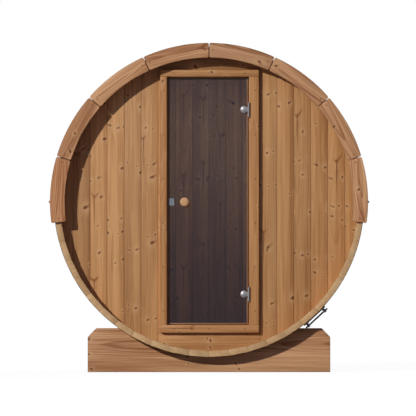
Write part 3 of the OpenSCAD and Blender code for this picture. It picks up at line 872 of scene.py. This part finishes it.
def build_glass_seal():
    """A slim profile down the pane's hinge side, cut for the clamps, and along its bottom."""
    width, lap, thin = 5.5 * MM, 1.0 * MM, 1.2 * MM
    clear, core = 0.3 * MM, 0.5 * MM
    low, high = GLASS_LOW, GLASS_HIGH
    y0, y1 = low.y - clear, high.y + clear
    clamp_h = 27 * MM
    zs = [low.z - width, HINGE_ZS[0] - clamp_h, HINGE_ZS[0] + clamp_h,
          HINGE_ZS[1] - clamp_h, HINGE_ZS[1] + clamp_h, high.z + width]
    seal = Solids()
    for y in (y0 - thin, y1):
        for z0, z1 in zip(zs[::2], zs[1::2]):
            seal.add(prism(rectangle((high.x - lap, y), (high.x + width, y + thin)), z0, z1, "xy", 0.3))
    for z0, z1 in zip(zs[::2], zs[1::2]):
        seal.add(prism(rectangle((high.x + core, y0), (high.x + width, y1)), z0, z1, "xy", 0))
    foot = rectangle((low.x, y0 - thin), (high.x - lap, y1 + thin))
    seal.add(prism(foot, low.z - width, low.z - core, "xy", 0.3))
    seal.piece("door_edge_seal", "door", [DOOR_SEAL])


def rounded_rectangle(low, high, r):
    """The outline in X and Z of a box with rounded corners."""
    corners = ((high.x - r, high.z - r, 0), (high.x - r, low.z + r, 1),
               (low.x + r, low.z + r, 2), (low.x + r, high.z - r, 3))
    points = []
    for x, z, turn in corners:
        points += arc(Vector((x, z)), r, turn * QUARTER, (turn + 1) * QUARTER, 4)
    return points


# A knob's turned shape, as shares of its radius and of its height
KNOB_SHAPE = ((0, 0), (0.62, 0), (0.64, 0.03), (0.5, 0.2), (0.46, 0.34), (0.56, 0.47), (0.8, 0.57),
              (0.95, 0.67), (1, 0.77), (0.98, 0.86), (0.88, 0.93), (0.7, 0.975), (0.4, 1), (0, 1))


def build_knobs():
    """A turned wooden knob on each side of the glass."""
    for seed, name, facing in ((701, "door_knob_outside", facing_front),
                               (702, "door_knob_inside", facing_back)):
        low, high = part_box(name)
        r, tall = (high.x - low.x) / 2, high.y - low.y
        seat = high.y if name.endswith("outside") else low.y
        profile = [(wide * r, up * tall) for wide, up in KNOB_SHAPE]
        knob = Timber(seed)
        place = facing((low.x + high.x) / 2, seat, (low.z + high.z) / 2)
        knob.board(lathe(profile, 48), place, "y", 0.6, "x")
        knob.piece("turned_" + name, "door", [WOODS["knob"]], "knob_wood", [name])


def dome(r, rise, rim):
    """A domed cap with an upright rim."""
    steps = 8
    ball = (r * r + rise * rise) / (2 * rise)
    profile = [(0, 0), (r, 0), (r, rim)]
    for i in range(1, steps):
        reach = r * (1 - i / steps)
        profile.append((reach, rim + rise - ball + math.sqrt(ball * ball - reach * reach)))
    return lathe(profile + [(0, rim + rise)], 40)


def build_hinge_caps():
    """A domed cap on each hinge's clamp disc."""
    disc_r, rise, rim = 22.4 * MM, 5.5 * MM, 0.8 * MM
    disc_x, disc_t = 23 * MM, 12.3 * MM
    caps = Solids()
    for which in ("upper", "lower"):
        low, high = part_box(which + "_hinge_clamp")
        place = facing_front(low.x + disc_x, GLASS_LOW.y - disc_t, (low.z + high.z) / 2)
        caps.add(dome(disc_r, rise, rim), place)
    caps.piece("hinge_caps", "door", [HINGE_STEEL], "hinge_steel")


def build_latch_screws():
    """A small screw near the top and the bottom of the latch plate."""
    inset, small = 10 * MM, 0.7
    low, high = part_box("latch_plate")
    x = (low.x + high.x) / 2
    places = [facing_front(x, low.y, z) for z in (low.z + inset, high.z - inset)]
    screws("latch_screws", "door", [place @ Matrix.Scale(small, 4) for place in places])


# ---- Hoops and tensioners ----

LUG_PITCH, LUG_T = 130 * MM, 8 * MM
ROD_AXIS_R = 1.026
ROD_ANGLE = math.radians(137.2)


def threaded_rod(r, length, pitch):
    """A rod along z, its middle at z = 0, with a V thread made of rings."""
    root = r - 0.9 * MM
    end_r = r - 1 * MM
    profile = [(0, -length / 2), (end_r, -length / 2)]
    for i in range(int(length / pitch)):
        z = -length / 2 + (i + 0.5) * pitch
        profile += [(root, z), (r, z + pitch / 2)]
    return lathe(profile + [(end_r, length / 2), (0, length / 2)], 14)


# The section of a washer and of a nut, as radius and height in millimetres
WASHER = ((0, 0), (12.4, 0), (13, 0.5), (13, 1.6), (12.4, 2), (0, 2))
NUT = ((0, 0), (10.2, 0), (11, 0.8), (11, 7.2), (10.2, 8), (0, 8))


def turned(shape, steps):
    return lathe([(r * MM, h * MM) for r, h in shape], steps)


def build_tensioners():
    """A threaded rod through both lugs of each hoop, with a washer and a chamfered nut outside each lug."""
    hoop_inset = 60 * MM
    washer_t = WASHER[-1][1] * MM
    lug_face = LUG_PITCH / 2 + LUG_T / 2
    for end, sign in (("front", -1), ("rear", 1)):
        y = sign * (END_Y - hoop_inset)
        out = at(0, y, AXIS_Z) @ Matrix.Rotation(ROD_ANGLE, 4, "Y") @ at(0, 0, ROD_AXIS_R)
        place = out @ Matrix.Rotation(QUARTER, 4, "Y")
        rod = Solids()
        rod.add(threaded_rod(6 * MM, 187 * MM, 1.75 * MM), place)
        for way in (-1, 1):
            spin = WORLD if way > 0 else Matrix.Rotation(math.pi, 4, "X")
            outside = place @ at(0, 0, way * lug_face) @ spin
            rod.add(turned(WASHER, 28), outside)
            rod.add(turned(NUT, 6), outside @ at(0, 0, washer_t))
        rod.piece(end + "_tension_rod", "cabin", [ROD_STEEL], "rod_steel", [end + "_tensioner"])


def finish_metal():
    """Gives the CAD's own steel pieces their finishes. On the hoops the lugs are zinc-plated."""
    for node in ("front_hoop", "rear_hoop"):
        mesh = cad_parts[node].data
        mesh.materials.clear()
        mesh.materials.append(HOOP_STEEL)
        mesh.materials.append(LUG_STEEL)
        for polygon in mesh.polygons:
            reach = math.hypot(polygon.center.x, polygon.center.z - AXIS_Z)
            polygon.material_index = 1 if reach > HOOP_R + 1 * MM else 0
        smooth_by_angle(mesh)
    for node in ("upper_hinge_plate", "lower_hinge_plate", "upper_hinge_clamp", "lower_hinge_clamp",
                 "latch_plate", "latch_keeper"):
        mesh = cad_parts[node].data
        mesh.materials.clear()
        mesh.materials.append(LATCH_STEEL if node.startswith("latch") else HINGE_STEEL)
        smooth_by_angle(mesh)


# ---- Floor ----

def build_floor():
    """A duckboard: slats along the cabin on three bearers, with a screw at each crossing."""
    low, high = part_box("floor_slats")
    bearer_low, bearer_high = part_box("floor_bearers")
    width, gap, thick = 95 * MM, 14 * MM, 45 * MM
    count = round((high.x - low.x + gap) / (width + gap))
    bearer_ys = (bearer_low.y + thick / 2, 0.0, bearer_high.y - thick / 2)
    slats = Timber(601, (0.2, 0.8))
    heads = []
    for i in range(count):
        x = low.x + i * (width + gap)
        section = rectangle((x, low.z), (x + width, high.z))
        slats.board(prism(section, low.y, high.y, "xz", 3.0), WORLD, "y", thin="z")
        for y in bearer_ys:
            heads += [at(x + share * width, y, high.z) for share in (0.25, 0.75)]
    slats.piece("duckboard", "cabin", [WOODS["floor"]], "floor_wood", ["floor_slats"])
    screws("duckboard_screws", "cabin", heads)

    clear, steps = 0.3 * MM, 24
    r = INNER_R - clear
    top, bottom = bearer_high.z - AXIS_Z, bearer_low.z - AXIS_Z
    reach = min(bearer_high.x, math.sqrt(r * r - top * top))
    xs = [reach * (2 * i / steps - 1) for i in range(steps + 1)]
    outline = [(x, max(bottom, -math.sqrt(r * r - x * x))) for x in xs] + [(reach, top), (-reach, top)]
    bearers = Timber(602)
    for y in bearer_ys:
        bearers.board(prism(outline, y - thick / 2, y + thick / 2, "xz", 0), along="x")
    bearers.piece("duckboard_bearers", "cabin", [WOODS["floor"]], "floor_wood", ["floor_bearers"])


# ---- Stage, light and camera ----

AMBIENT = 0.225


def camera_ray(g):
    return g.node("ShaderNodeLightPath").outputs["Is Camera Ray"]


def build_stage():
    """A plain pale floor and a white room, seen brighter than they shine."""
    half = 400.0
    corners = [(x, y, 0) for x, y in rectangle((-half, -half), (half, half))]
    mesh = bpy.data.meshes.new("studio_floor")
    mesh.from_pydata(corners, [], [(0, 1, 2, 3)])
    floor = bpy.data.objects.new("studio_floor", mesh)
    bpy.context.scene.collection.objects.link(floor)
    made, g, shader = new_material("studio_floor")
    shader.inputs["Base Color"].default_value = (0.26, 0.25, 0.26, 1)
    shader.inputs["Roughness"].default_value = 0.9
    shader.inputs["Specular IOR Level"].default_value = 0.0
    glow = g.node("ShaderNodeEmission", (0.93, 0.93, 0.93, 1)).outputs[0]
    faint = g.node("ShaderNodeBsdfDiffuse", (0.12, 0.12, 0.12, 1)).outputs[0]
    seen = g.node("ShaderNodeAddShader", glow, faint).outputs[0]
    both = g.node("ShaderNodeMixShader", camera_ray(g), shader.outputs[0], seen).outputs[0]
    g.feed(g.tree.nodes["Material Output"].inputs["Surface"], both)
    mesh.materials.append(made)

    world = bpy.data.worlds.new("studio")
    bpy.context.scene.world = world
    world.use_nodes = True
    g = Graph(world.node_tree)
    background = world.node_tree.nodes["Background"]
    g.feed(background.inputs["Color"], g.mix(camera_ray(g), (0.98, 0.96, 1.30, 1), (1, 1, 1, 1)))
    g.feed(background.inputs["Strength"], g.fit(camera_ray(g), AMBIENT, 1.0))


def add_sun(name, energy, spread, colour, travel):
    """A distant light. Its rays run along travel, and spread is the light's width in degrees."""
    light = bpy.data.lights.new(name, "SUN")
    light.energy = energy
    light.angle = math.radians(spread)
    light.color = colour
    sun = bpy.data.objects.new(name, light)
    sun.rotation_mode = "QUATERNION"
    sun.rotation_quaternion = Vector(travel).to_track_quat("-Z", "Y")
    bpy.context.scene.collection.objects.link(sun)


def build_light():
    """A crisp key from the upper left in front, a soft light from behind and a lamp inside the cabin."""
    add_sun("key", 2.35, 1.5, (1.0, 0.98, 0.92), (0.637, 1.0, -0.45))
    add_sun("back", 1.2, 25, (0.97, 0.98, 1.0), (-0.5, -1.0, -0.6))
    inside = bpy.data.lights.new("inside", "AREA")
    inside.shape = "RECTANGLE"
    inside.size, inside.size_y = 0.6, 0.5
    inside.energy = 15.5
    inside.color = (0.92, 0.98, 1.0)
    lamp = bpy.data.objects.new("inside", inside)
    lamp.location = (0, -0.2, AXIS_Z + 0.74)
    lamp.rotation_euler = (math.radians(25), 0, 0)
    lamp.visible_camera = False
    bpy.context.scene.collection.objects.link(lamp)


def build_camera():
    """A long lens, straight on to the front. seen_width is what the picture spans at the stave ends."""
    distance, seen_width = 80.0, 2.6915
    left, below = 6.5 * MM, 39.5 * MM
    camera = bpy.data.cameras.new("camera")
    camera.sensor_width = 36.0
    camera.lens = camera.sensor_width * (distance - END_Y) / seen_width
    camera.clip_end = 2000.0
    eye = bpy.data.objects.new("camera", camera)
    eye.location = (-left, -distance, AXIS_Z - below)
    eye.rotation_euler = (QUARTER, 0, 0)
    bpy.context.scene.collection.objects.link(eye)
    bpy.context.scene.camera = eye


build_shell()
build_joint_beads()
build_arches()
build_cradles()
build_battens()
build_walls()
build_frame()
build_glass()
build_glass_seal()
build_knobs()
build_hinge_caps()
build_latch_screws()
build_tensioners()
finish_metal()
build_floor()
build_stage()
build_light()
build_camera()
bpy.context.scene.view_settings.view_transform = "Standard"
